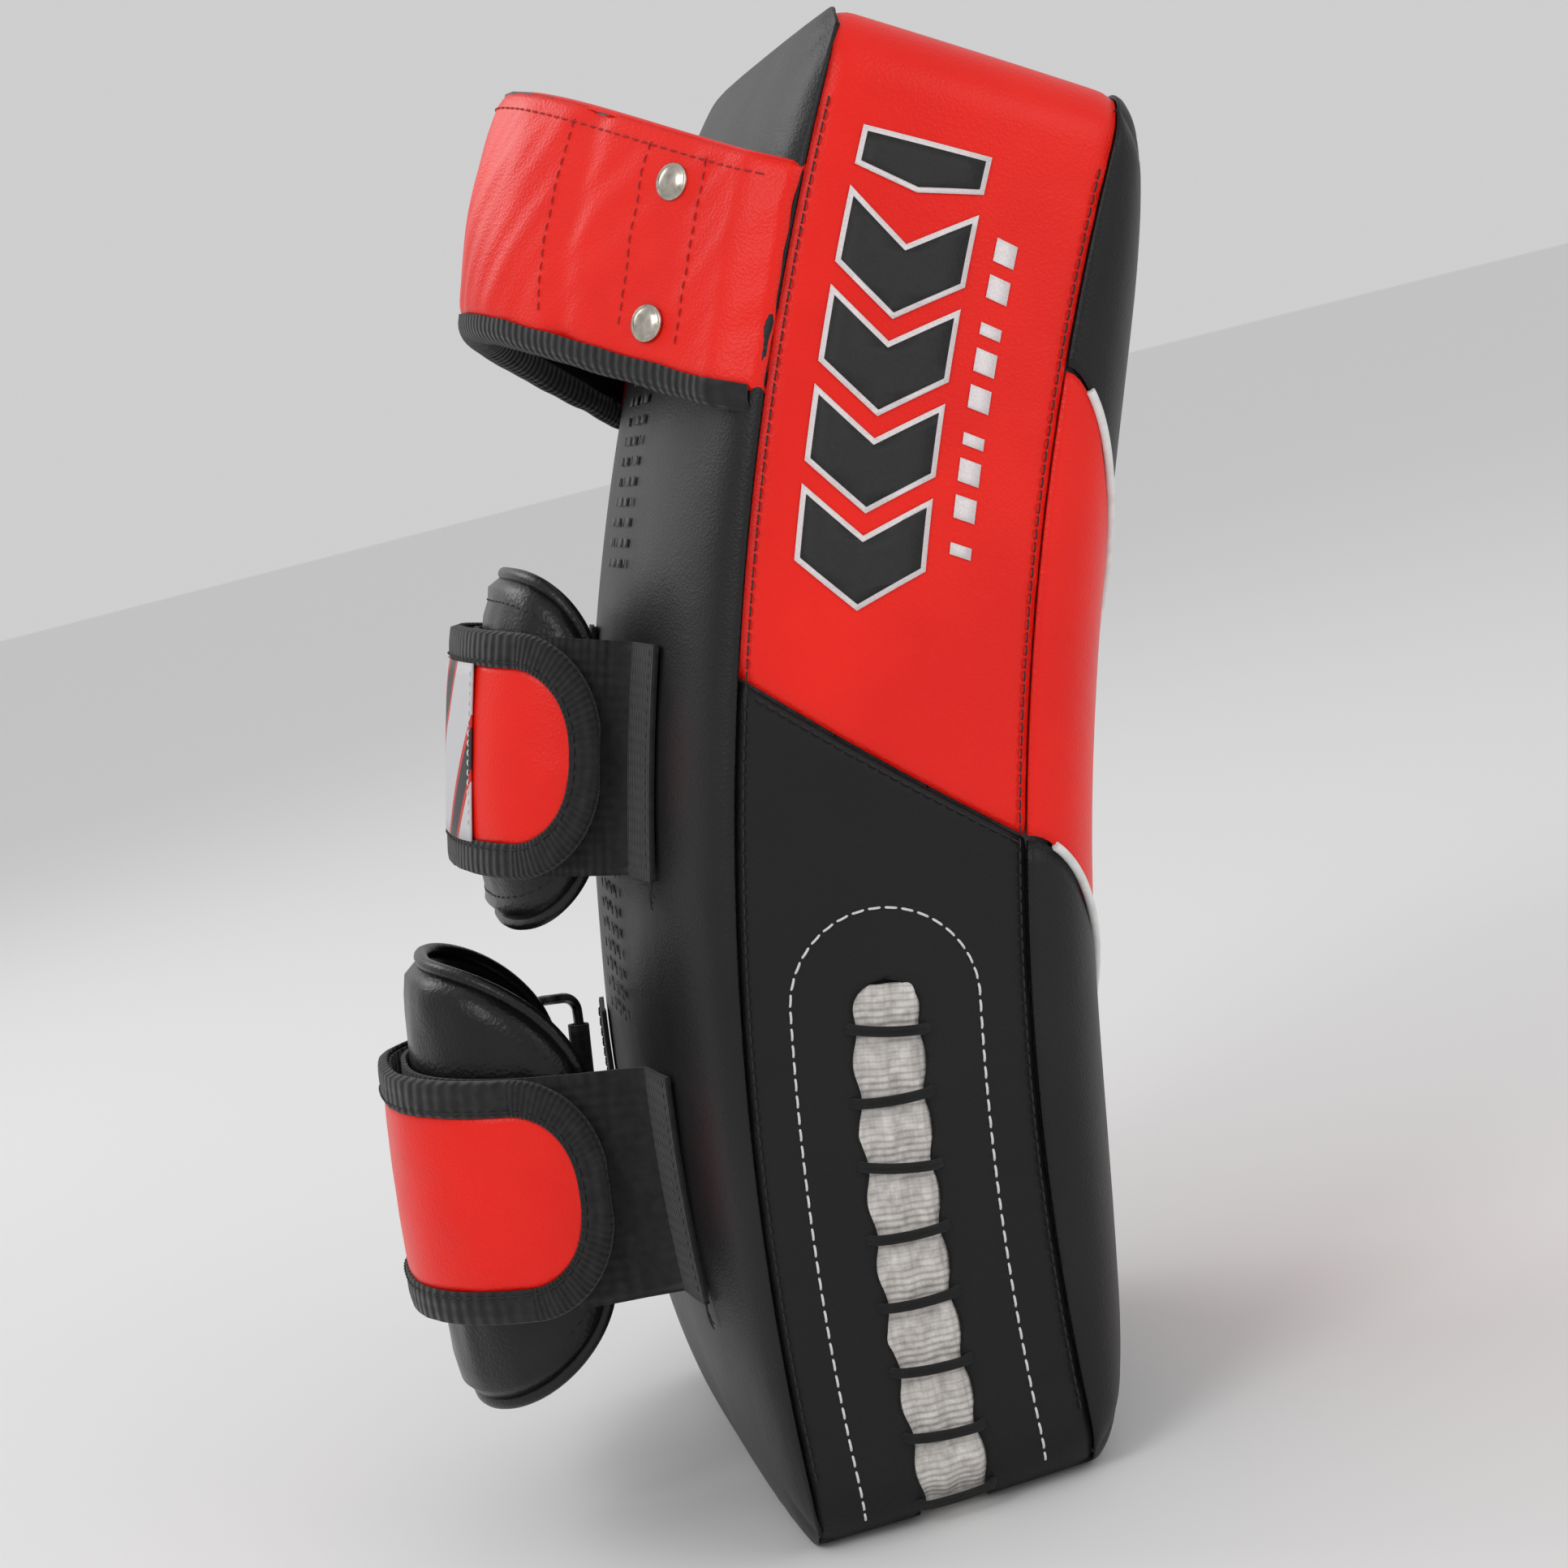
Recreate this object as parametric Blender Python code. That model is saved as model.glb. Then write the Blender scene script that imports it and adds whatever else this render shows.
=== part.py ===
"""Thai pad: a curved leather-covered foam pad with a grip handle and two forearm straps.

The pad stands on its bottom end. Its strike face looks toward -Y and its straps toward +Y, and it bends
forward about an axis along X that lies in the plane of the foot. A place on it is given by three numbers:
x across the pad, the way up along the curved middle line, and the height out from it toward the straps.
"""

import math

import bmesh
import bpy
from mathutils import Vector

# Pad, in metres
CURVE_RADIUS = 0.710
LENGTH = CURVE_RADIUS * math.radians(30)
HALF_WIDTH = 0.100
HALF_WALL = 0.037
CORNER_RADIUS = 0.018
FACE_CROWN = 0.027
BACK_CROWN = 0.018
FACE_EDGE = (5, 4.5)
BACK_EDGE = (3, 2.2)
WALL_BULGE = 0.0025
LEATHER = 0.0015
GAP = 0.0003
FOAM_INSET = 0.0030
FOAM_SPLIT = 0.012

# Join between the red and black walls, where it meets the back seam and the face seam
JOIN_BACK = 0.213
JOIN_FACE = 0.174
# Red chevron on the strike face: its edges at the side seams, and how far each dips at the middle
CHEVRON_TOP = 0.297
CHEVRON_TOP_DIP = 0.105
CHEVRON_LOW = 0.174
CHEVRON_LOW_DIP = 0.080
PIPING_WIDTH = 0.0020
PIPING_PROUD = 0.0009

# Laced opening in the left wall, as heights of its two edges, its top, and its end under the foot
SLOT_BACK = 0.0096
SLOT_FACE = -0.0081
SLOT_TOP = 0.140
SLOT_UNDER = 0.045
LACE_FIRST = 0.128
LACE_STEP = 0.0172
LACE_COUNT = 8
LACE_WIDTH = 0.0026
LACE_THICK = 0.0012

# Handle
HANDLE_ALONG = 0.3055
HANDLE_HALF = 0.0266
HANDLE_REACH = 0.098
HANDLE_FOOT = 0.0435
HANDLE_RISE = 0.052
HANDLE_LIFT = 0.012
HANDLE_LINING = 0.0014
HANDLE_LEATHER = 0.0020
GRIP_REACH = 0.078
GRIP_HALF = 0.064
GRIP_THICK = 0.008
BINDING_WIDTH = 0.0058
RIVET_X = 0.074
RIVET_ROWS = (0.2885, 0.3210)
RIVET_RADIUS = 0.0047
RIVET_THICK = 0.0014
RIVET_LIFT = 0.0007

# Forearm straps: their loops are superellipses across the pad
LOOP_POWER = 2 / 2.6
LOOP_HALF = 0.047
LOOP_BASE = 0.0575
STRAP_HALF = 0.028
STRAP_END = -84
BAR_RADIUS = 0.0015
RING_HALF = 0.0325
RING_CORNER = 0.004
RING_FOOT_X = 0.0515
RING_FOOT_HEIGHT = 0.0615
LOOPS = {
    "upper": {"along": 0.1908, "rise": 0.033, "cuff": 0.0415, "turn": 66, "bar": 72},
    "lower": {"along": 0.0880, "rise": 0.056, "cuff": 0.0520, "turn": 74, "bar": 78},
}

RED = (0.72, 0.012, 0.006, 1)
BLACK = (0.012, 0.012, 0.013, 1)
CLOTH = (0.62, 0.59, 0.56, 1)
FOAM = (0.16, 0.17, 0.19, 1)
WHITE = (0.80, 0.80, 0.80, 1)
NICKEL = (0.62, 0.58, 0.52, 1)


def cleared_scene():
    for old in list(bpy.data.objects):
        bpy.data.objects.remove(old, do_unlink=True)
    parts = bpy.data.collections.new("thai_pad")
    bpy.context.scene.collection.children.link(parts)
    return parts


def finish_of(name, colour, roughness, metallic=0.0):
    material = bpy.data.materials.new(name)
    material.use_nodes = True
    shader = material.node_tree.nodes["Principled BSDF"]
    shader.inputs["Base Color"].default_value = colour
    shader.inputs["Roughness"].default_value = roughness
    shader.inputs["Metallic"].default_value = metallic
    return material


def world(x, along, height):
    """The place across, along and out from the pad's curved middle line."""
    angle = along / CURVE_RADIUS
    radius = CURVE_RADIUS + height
    return x, radius * math.cos(angle) - CURVE_RADIUS, radius * math.sin(angle)


def slab(name, columns, rows, place, finish, keep=None, parent=None):
    """A closed sheet: a grid extruded once, each point moved by place(a, b, c); c is 0 below and 1 above."""
    shape = bmesh.new()
    bmesh.ops.create_grid(shape, x_segments=columns, y_segments=rows, size=1)
    if keep:
        dropped = [face for face in shape.faces if not keep(*face.calc_center_median()[:2])]
        bmesh.ops.delete(shape, geom=dropped, context="FACES")
    raised = bmesh.ops.extrude_face_region(shape, geom=shape.faces[:])["geom"]
    for point in raised:
        if isinstance(point, bmesh.types.BMVert):
            point.co.z = 1
    for point in shape.verts:
        point.co = place(*point.co)
    bmesh.ops.recalc_face_normals(shape, faces=shape.faces[:])
    if shape.calc_volume(signed=True) < 0:
        bmesh.ops.reverse_faces(shape, faces=shape.faces[:])
    return add_mesh(name, shape, finish, parent)


def add_mesh(name, shape, finish, parent=None):
    mesh = bpy.data.meshes.new(name)
    shape.to_mesh(mesh)
    shape.free()
    mesh.materials.append(finish)
    mesh.shade_smooth()
    mesh.set_sharp_from_angle(angle=math.radians(40))
    piece = bpy.data.objects.new(name, mesh)
    PARTS.objects.link(piece)
    if parent:
        hang(piece, parent)
    return piece


def hang(piece, parent):
    piece.parent = parent
    piece.matrix_parent_inverse = parent.matrix_world.inverted()


def eased(value):
    """From -1 to 1 with its steps closest at the two ends."""
    return math.sin(value * math.pi / 2)


def fullness(across, length, edges):
    """How far a crowned cover stands out: 0 on its edge and 1 at its middle, from -1..1 coordinates."""
    width = max(0, 1 - abs(across) ** edges[0])
    run = max(0, 1 - abs(length) ** edges[1])
    return math.sqrt(width * run)


def rounded(x, along):
    """Pulls a point near the rectangle's corners onto arcs round each corner's centre."""
    middle = LENGTH / 2
    straight = HALF_WIDTH - CORNER_RADIUS
    run = middle - CORNER_RADIUS
    across = abs(x) - straight
    beyond = abs(along - middle) - run
    if across <= 0 or beyond <= 0:
        return x, along
    pull = max(across, beyond) / math.hypot(across, beyond)
    turned_x = math.copysign(straight + across * pull, x)
    turned_along = middle + math.copysign(run + beyond * pull, along - middle)
    return turned_x, turned_along


def face_height(x, along):
    """Height of the strike face's outer surface, negative because it looks away from the straps."""
    return -HALF_WALL - FACE_CROWN * fullness(x / HALF_WIDTH, 2 * along / LENGTH - 1, FACE_EDGE)


def back_height(x, along):
    return HALF_WALL + BACK_CROWN * fullness(x / HALF_WIDTH, 2 * along / LENGTH - 1, BACK_EDGE)


def chevron_top(x):
    return CHEVRON_TOP - CHEVRON_TOP_DIP * (1 - (x / HALF_WIDTH) ** 2) ** 0.9


def chevron_low(x):
    return CHEVRON_LOW - CHEVRON_LOW_DIP * (1 - (x / HALF_WIDTH) ** 2)


def face_cover(name, low, high, finish, rows, ease):
    """A strip of the strike face's cover between two lines across it."""

    def place(a, b, c):
        x = HALF_WIDTH * eased(a)
        share = ease((b + 1) / 2)
        along = low(x) + (high(x) - low(x)) * share
        height = face_height(x, along) + LEATHER * (1 - c)
        return world(*rounded(x, along), height)

    slab(name, 14, rows, place, finish)


def piping(name, line, finish):
    """White piping in the seam between two strips of the face cover."""

    def place(a, b, c):
        x = HALF_WIDTH * 0.985 * eased(a)
        along = line(x) + PIPING_WIDTH / 2 * b
        height = face_height(x, along) + LEATHER - (LEATHER + PIPING_PROUD) * c
        return world(x, along, height)

    slab(name, 14, 1, place, finish)


def make_face():
    """Three strips and two pipings."""
    room = PIPING_WIDTH / 2 + GAP
    face_cover("face_cover_lower", lambda x: 0, lambda x: chevron_low(x) - room, BLACK_LEATHER, 8,
               lambda share: 1 - math.cos(share * math.pi / 2))
    face_cover("face_chevron", lambda x: chevron_low(x) + room, lambda x: chevron_top(x) - room, RED_LEATHER, 5,
               lambda share: share)
    face_cover("face_cover_upper", lambda x: chevron_top(x) + room, lambda x: LENGTH, BLACK_LEATHER, 8,
               lambda share: math.sin(share * math.pi / 2))
    piping("face_piping_lower", chevron_low, WHITE_VINYL)
    piping("face_piping_upper", chevron_top, WHITE_VINYL)


def make_back():
    def place(a, b, c):
        x = HALF_WIDTH * eased(a)
        along = LENGTH / 2 * (1 + eased(b))
        height = back_height(x, along) - LEATHER * (1 - c)
        return world(*rounded(x, along), height)

    slab("back_cover", 14, 16, place, BLACK_LEATHER)


def make_foam():
    """Three layers glued into a block that fills the cover."""
    reach = HALF_WIDTH - FOAM_INSET
    run = LENGTH / 2 - FOAM_INSET
    wall = HALF_WALL - FOAM_INSET

    def layer(name, low, high, finish, edge=BACK_EDGE):
        def place(a, b, c):
            x = reach * eased(a)
            along = LENGTH / 2 + run * eased(b)
            full = fullness(eased(a), eased(b), edge)
            height = high(full) if c else low(full)
            return world(*rounded(x, along), height)

        slab(name, 14, 16, place, finish)

    layer("foam_face_layer", lambda full: -wall - (FACE_CROWN - 0.0005) * full, lambda full: -FOAM_SPLIT, FOAM_FIRM,
          FACE_EDGE)
    layer("foam_core", lambda full: GAP - FOAM_SPLIT, lambda full: FOAM_SPLIT - GAP, FOAM_CORE)
    layer("foam_back_layer", lambda full: FOAM_SPLIT, lambda full: wall + (BACK_CROWN - 0.0005) * full, FOAM_FIRM)


def outline(distance, end):
    """Point of the pad's outline this far round from the middle of an end, and the direction out of it."""
    straight = HALF_WIDTH - CORNER_RADIUS
    arc = CORNER_RADIUS * math.pi / 2
    side = math.copysign(1, distance)
    gone = abs(distance)
    turn = min(max((gone - straight) / CORNER_RADIUS, 0), math.pi / 2)
    x = min(gone, straight) + CORNER_RADIUS * math.sin(turn)
    depth = CORNER_RADIUS * (1 - math.cos(turn)) + max(gone - straight - arc, 0)
    along = LENGTH - depth if end > 0 else depth
    return side * x, along, side * math.sin(turn), end * math.cos(turn)


def round_from_end(depth):
    """How far round the outline a point of the side wall lies, this deep below the end."""
    return HALF_WIDTH - CORNER_RADIUS + CORNER_RADIUS * math.pi / 2 + depth - CORNER_RADIUS


def wall_point(distance, end, height, inward):
    x, along, out_x, out_along = outline(distance, end)
    bulge = WALL_BULGE * (1 - (height / HALF_WALL) ** 2) * out_x**2
    return world(x + out_x * (bulge - inward), along - out_along * inward, height)


def join_at(height):
    """Where the red and black walls meet, at this height between the two seams."""
    share = (height + HALF_WALL) / (2 * HALF_WALL)
    return JOIN_FACE + (JOIN_BACK - JOIN_FACE) * share


def make_walls():
    """The wall is two bands: a red one over the top end and a black one under the foot, with the laced slot."""
    tall = HALF_WALL - LEATHER - GAP

    def red(a, b, c):
        height = tall * b
        depth = LENGTH - join_at(height) - GAP / 2
        return wall_point(a * round_from_end(depth), 1, height, LEATHER * (1 - c))

    slab("wall_red", 56, 4, red, RED_LEATHER)
    lines = (-1, -0.62, SLOT_FACE / tall, 0.02, SLOT_BACK / tall, 0.62, 1)
    slot_far = round_from_end(SLOT_TOP)
    slot_near = HALF_WIDTH - SLOT_UNDER
    low_reach = round_from_end(join_at(0))

    def black(a, b, c):
        step = round((b + 1) / 2 * (len(lines) - 1))
        height = tall * lines[step]
        return wall_point(a * round_from_end(join_at(height) - GAP / 2), -1, height, LEATHER * (1 - c))

    def outside_slot(a, b):
        in_run = -slot_far < a * low_reach < -slot_near
        return not (in_run and abs(b) < 1 / 3)

    slab("wall_black", 60, len(lines) - 1, black, BLACK_LEATHER, keep=outside_slot)

    def cloth(a, b, c):
        low = SLOT_FACE + 2 * GAP
        high = SLOT_BACK - 2 * GAP
        height = (low + high) / 2 + (high - low) / 2 * b
        far = slot_far - 0.008
        near = slot_near + 0.008
        return wall_point(-(near + far) / 2 + (far - near) / 2 * a, -1, height, 0.0004 + LEATHER * 0.7 * (1 - c))

    slab("lace_gusset_cloth", 22, 2, cloth, OFF_WHITE_CLOTH)


def make_laces():
    for number in range(LACE_COUNT):
        middle = round_from_end(LACE_FIRST - number * LACE_STEP)
        low = SLOT_FACE - 0.0025
        high = SLOT_BACK + 0.0025

        def place(a, b, c):
            height = (low + high) / 2 + (high - low) / 2 * a
            distance = middle + LACE_WIDTH / 2 * b
            return wall_point(-distance, -1, height, -GAP - LACE_THICK * c)

        slab(f"lace_{number + 1}", 4, 1, place, BLACK_LACE)


def handle_rise(x):
    """Height of the handle's inner surface over this point across the pad, 0 to 1 of its rise."""
    return math.sin(math.pi / 2 * (1 - min(abs(x) / HALF_WIDTH, 1))) ** 1.3


def handle_height(x):
    return HANDLE_FOOT + HANDLE_RISE * handle_rise(x)


def grip_at(x):
    """Thickness of the grip's padding here, running out to nothing before the sewn ends."""
    return GRIP_THICK * max(0, 1 - (x / GRIP_REACH) ** 2)


def make_handle():
    def layer(name, reach, edges, bottom, top, finish, columns=16):
        def place(a, b, c):
            x = reach * a
            along = HANDLE_ALONG + HANDLE_LIFT * handle_rise(x)
            along += edges[0] + (edges[1] - edges[0]) * (b + 1) / 2
            height = handle_height(x) + (top(x) if c else bottom(x))
            return world(x, along, height)

        return slab(name, columns, 1 if edges[1] - edges[0] < 0.01 else 3, place, finish)

    edges = (-HANDLE_HALF, HANDLE_HALF)
    leather_low = HANDLE_LINING + 2 * GAP
    layer("handle_lining", HANDLE_REACH, edges, lambda x: 0, lambda x: HANDLE_LINING, BLACK_LEATHER)
    layer("handle_grip_pad", GRIP_HALF, edges, lambda x: HANDLE_LINING + GAP,
          lambda x: HANDLE_LINING + grip_at(x) - GAP, FOAM_CORE, 12)
    layer("handle_band", HANDLE_REACH, edges, lambda x: leather_low + grip_at(x) + GAP,
          lambda x: leather_low + grip_at(x) + GAP + HANDLE_LEATHER, RED_LEATHER)
    low_edge = (-HANDLE_HALF - GAP - BINDING_WIDTH, -HANDLE_HALF - GAP)
    layer("handle_binding", HANDLE_REACH - 0.001, low_edge, lambda x: 0,
          lambda x: leather_low + grip_at(x) + HANDLE_LEATHER, BLACK_WEBBING)


def make_rivets():
    """Four capped rivets through the sewn ends of the handle, with their heads on the red band."""
    number = 0
    for x in (-RIVET_X, RIVET_X):
        slope = (handle_height(x * 1.01) - handle_height(x * 0.99)) / (0.02 * x)
        tilt = -math.atan(slope)
        for row in RIVET_ROWS:
            number += 1
            along = row + HANDLE_LIFT * handle_rise(x)
            top = handle_height(x) + HANDLE_LINING + 3 * GAP + grip_at(x) + HANDLE_LEATHER
            lift = RIVET_THICK / 2 + RIVET_LIFT
            angle = along / CURVE_RADIUS
            out = Vector((math.sin(tilt), math.cos(tilt) * math.cos(angle), math.cos(tilt) * math.sin(angle)))
            shape = bmesh.new()
            bmesh.ops.create_cone(shape, cap_ends=True, segments=20, radius1=RIVET_RADIUS,
                                  radius2=RIVET_RADIUS * 0.75, depth=RIVET_THICK)
            rivet = add_mesh(f"handle_rivet_{number}", shape, NICKEL_PLATE)
            rivet.location = Vector(world(x, along, top)) + lift * out
            rivet.rotation_mode = "QUATERNION"
            rivet.rotation_quaternion = out.to_track_quat("Z", "Y")


def loop_point(loop, degrees, offset):
    """Across and out from the pad, on the loop's superellipse this far outside the cuff."""
    angle = math.radians(degrees)
    across = abs(math.sin(angle)) ** LOOP_POWER
    out = max(0, math.cos(angle)) ** LOOP_POWER
    return math.copysign((LOOP_HALF + offset) * across, degrees), LOOP_BASE + (loop["rise"] + offset) * out


def loop_slab(name, loop, start, stop, columns, layer, half_at, finish, rows=2, parent=None):
    """A layer of a strap's loop between two angles, whose half width follows half_at(angle)."""

    def place(a, b, c):
        degrees = start + (stop - start) * (a + 1) / 2
        x, height = loop_point(loop, degrees, layer[1] if c else layer[0])
        return world(x, loop["along"] + half_at(degrees) * b, height)

    return slab(name, columns, rows, place, finish, parent=parent)


def rounded_end(degrees, start, stop, half):
    """Half width of a tongue whose end between these two angles is round."""
    share = max(0, (start - degrees) / (start - stop))
    return half * max(0.25, math.sqrt(max(0, 1 - min(share, 1) ** 2)))


def make_cuff(side, loop):
    def half_at(degrees):
        share = abs(degrees) / 80
        return loop["cuff"] * (0.40 + 0.60 * math.sqrt(max(0, 1 - share**3.2)))

    loop_slab(f"{side}_cuff_lining", loop, -80, 80, 20, (-0.0085, -0.0070), half_at, BLACK_LEATHER)
    loop_slab(f"{side}_cuff_pad", loop, -80, 80, 20, (-0.0067, 0), half_at, BLACK_LEATHER)
    loop_slab(f"{side}_base_strap", loop, -88, loop["turn"], 20, (0.0007, 0.0022), lambda d: STRAP_HALF, BLACK_WEBBING)


def sewn_patch(name, loop, x_from, x_to, finish):
    def place(a, b, c):
        x = (x_from + x_to) / 2 + (x_to - x_from) / 2 * a
        along = loop["along"] + (STRAP_HALF + 0.001) * b
        return world(x, along, back_height(x, along) + 0.0006 + 0.0014 * c)

    slab(name, 4, 3, place, finish)


def pivot(name, x, along, height):
    """Empty on a hinge's axis, with its Z along the pad."""
    empty = bpy.data.objects.new(name, None)
    empty.location = world(x, along, height)
    empty.rotation_euler = (along / CURVE_RADIUS, 0, 0)
    PARTS.objects.link(empty)
    bpy.context.view_layer.update()
    return empty


def make_ring(side, loop):
    """A wire ring: one long bar held by the tab, the other carrying the turn of the strap."""
    bar_x, bar_height = loop_point(loop, loop["bar"], 0.0034)
    foot = (RING_FOOT_X, RING_FOOT_HEIGHT)
    ring_pivot = pivot(f"{side}_ring_pivot", foot[0], loop["along"], foot[1])
    tall = math.hypot(bar_x - foot[0], bar_height - foot[1])
    half = tall / 2
    corners = ((1, 1), (-1, 1), (-1, -1), (1, -1))
    points = []
    for quarter, (out_sign, along_sign) in enumerate(corners):
        for step in range(4):
            turn = math.radians(90 * quarter + 30 * step)
            out = half + out_sign * (half - RING_CORNER) + RING_CORNER * math.cos(turn)
            run = along_sign * (RING_HALF - RING_CORNER) + RING_CORNER * math.sin(turn)
            share = out / tall
            x = foot[0] + (bar_x - foot[0]) * share
            height = foot[1] + (bar_height - foot[1]) * share
            points.append(world(x, loop["along"] + run, height))
    wire = bpy.data.curves.new(f"{side}_ring", "CURVE")
    wire.dimensions = "3D"
    wire.bevel_depth = BAR_RADIUS
    wire.bevel_resolution = 2
    spline = wire.splines.new("POLY")
    spline.points.add(len(points) - 1)
    for point, place in zip(spline.points, points):
        point.co = (*place, 1)
    spline.use_cyclic_u = True
    wire.materials.append(DARK_STEEL)
    ring = bpy.data.objects.new(f"{side}_ring", wire)
    PARTS.objects.link(ring)
    hang(ring, ring_pivot)

    def tab(a, b, c):
        turn = math.radians(-90 + 160 * a)
        radius = BAR_RADIUS + 0.0004 + 0.0012 * c
        x = foot[0] + radius * math.cos(turn + math.pi)
        height = foot[1] + radius * math.sin(turn + math.pi)
        return world(x, loop["along"] + 0.025 * b, height)

    slab(f"{side}_ring_tab", 12, 1, tab, BLACK_WEBBING)
    return pivot(f"{side}_strap_pivot", bar_x, loop["along"], bar_height)


def make_outer_strap(side, loop, strap_pivot):
    """The free end of the strap, doubled back over the cuff from the ring to its round tip."""
    turn = loop["turn"]

    def strap_half(degrees):
        return rounded_end(degrees, -60, STRAP_END, STRAP_HALF)

    def panel_half(degrees):
        return rounded_end(degrees, -56, -76, STRAP_HALF - 0.0075)

    loop_slab(f"{side}_outer_strap", loop, STRAP_END, turn, 22, (0.0048, 0.0066), strap_half, BLACK_WEBBING,
              parent=strap_pivot)
    loop_slab(f"{side}_strap_panel", loop, -76, turn - 6, 20, (0.0069, 0.0077), panel_half, RED_LEATHER,
              parent=strap_pivot)
    loop_slab(f"{side}_hook_patch", loop, -70, -28, 8, (0.0034, 0.0044), lambda d: STRAP_HALF - 0.009, BLACK_HOOKS,
              rows=1, parent=strap_pivot)
    if side == "upper":
        loop_slab("upper_label", loop, -27, 12, 8, (0.0084, 0.0090), lambda d: STRAP_HALF - 0.0070, GREY_LABEL,
                  rows=1, parent=strap_pivot)


PARTS = cleared_scene()
RED_LEATHER = finish_of("red_leather", RED, 0.38)
BLACK_LEATHER = finish_of("black_leather", BLACK, 0.42)
BLACK_WEBBING = finish_of("black_webbing", BLACK, 0.85)
BLACK_LACE = finish_of("black_lace", BLACK, 0.8)
BLACK_HOOKS = finish_of("black_hooks", BLACK, 0.95)
OFF_WHITE_CLOTH = finish_of("off_white_cloth", CLOTH, 0.9)
WHITE_VINYL = finish_of("white_vinyl", WHITE, 0.4)
GREY_LABEL = finish_of("grey_label", CLOTH, 0.6)
FOAM_FIRM = finish_of("firm_foam", FOAM, 0.9)
FOAM_CORE = finish_of("soft_foam", FOAM, 0.95)
NICKEL_PLATE = finish_of("nickel_plate", NICKEL, 0.25, 1.0)
DARK_STEEL = finish_of("dark_steel", (0.10, 0.10, 0.11, 1), 0.3, 1.0)

make_foam()
make_face()
make_back()
make_walls()
make_laces()
make_handle()
make_rivets()
for side, loop in LOOPS.items():
    make_cuff(side, loop)
    sewn_patch(f"{side}_near_patch", loop, -0.070, -0.043, BLACK_WEBBING)
    sewn_patch(f"{side}_far_patch", loop, 0.043, 0.070, BLACK_WEBBING)
    make_outer_strap(side, loop, make_ring(side, loop))
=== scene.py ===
"""The looks of the thai pad: leather panels, seams and stitches, lacing, handle and forearm straps.

A place on the pad is given as in the CAD: x across it, the way up along its curved middle line, and the
height out from that line toward the straps. Everything is in metres.
"""

import math
import random

import bmesh
import bpy
from mathutils import Matrix, Vector, noise


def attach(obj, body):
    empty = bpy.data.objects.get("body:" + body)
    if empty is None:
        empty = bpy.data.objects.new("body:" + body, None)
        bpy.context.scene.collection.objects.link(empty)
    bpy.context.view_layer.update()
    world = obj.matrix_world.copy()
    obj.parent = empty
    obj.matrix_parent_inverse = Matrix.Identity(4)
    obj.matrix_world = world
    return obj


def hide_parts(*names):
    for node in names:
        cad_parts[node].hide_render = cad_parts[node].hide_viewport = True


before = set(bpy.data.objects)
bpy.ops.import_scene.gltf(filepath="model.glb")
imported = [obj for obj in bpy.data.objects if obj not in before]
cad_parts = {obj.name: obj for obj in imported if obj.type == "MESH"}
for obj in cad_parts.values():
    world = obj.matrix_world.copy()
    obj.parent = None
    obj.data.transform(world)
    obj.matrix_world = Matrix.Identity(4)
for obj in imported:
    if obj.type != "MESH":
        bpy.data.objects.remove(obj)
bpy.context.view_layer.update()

# Pad
CURVE_RADIUS = 0.710
LENGTH = CURVE_RADIUS * math.radians(30)
HALF_WIDTH = 0.100
HALF_WALL = 0.037
CORNER_RADIUS = 0.018
FACE_CROWN = 0.027
BACK_CROWN = 0.018
FACE_EDGE = (5, 4.5)
BACK_EDGE = (3, 2.2)
WALL_BULGE = 0.0025
LEATHER = 0.0013
PIPING_RADIUS = 0.0012
SEAM_ROOM = 0.0007
SEAM_DIP = 0.0011
SEAM_REACH = 0.0022
PUCKER = 0.00035
JOIN_BACK = 0.213
JOIN_FACE = 0.174
CHEVRON_TOP = (0.297, 0.105, 0.9)
CHEVRON_LOW = (0.174, 0.080, 1.0)

# Laced opening
SLOT_MIDDLE = 0.00075
SLOT_HALF = 0.0086
SLOT_TOP = 0.140
SLOT_UNDER = 0.045
SLOT_ARCH = 0.010
LACE_FIRST = 0.128
LACE_STEP = 0.0172
LACE_COUNT = 8
LACE_RADIUS = 0.00085
LACE_PANEL_TOP = 0.158
LACE_PANEL_HALF = 0.0240

# Handle
HANDLE_ALONG = 0.3055
HANDLE_HALF = 0.0266
HANDLE_REACH = 0.098
HANDLE_TURN = 0.091
HANDLE_FOOT = 0.0435
HANDLE_RISE = 0.052
HANDLE_LIFT = 0.012
GRIP_REACH = 0.078
GRIP_THICK = 0.008
GRIP_SAG = 0.35
HANDLE_THICK = 0.0043
RIVET_X = 0.074
RIVET_ROWS = (0.2885, 0.3210)

# Forearm straps
LOOP_POWER = 2 / 2.6
LOOP_HALF = 0.047
LOOP_BASE = 0.0575
STRAP_HALF = 0.028
STRAP_END = -84
EDGE_WIDTH = 0.0078
END_LENGTH = 0.024
SEWN_SHARE = 0.22
TURN_RADIUS = 0.0027
CUFF_SPAN = 80
RING_WIRE = 0.0015
RING_TAB_RADIUS = 0.0031
RING_HALF = 0.0325
RING_CORNER = 0.004
RING_FOOT = (0.0515, 0.0615)
BAR_OFFSET = 0.0034
LOOPS = {
    "upper": {"along": 0.1908, "rise": 0.033, "cuff": 0.0415, "turn": 66, "bar": 72},
    "lower": {"along": 0.0880, "rise": 0.056, "cuff": 0.0520, "turn": 74, "bar": 78},
}

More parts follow.
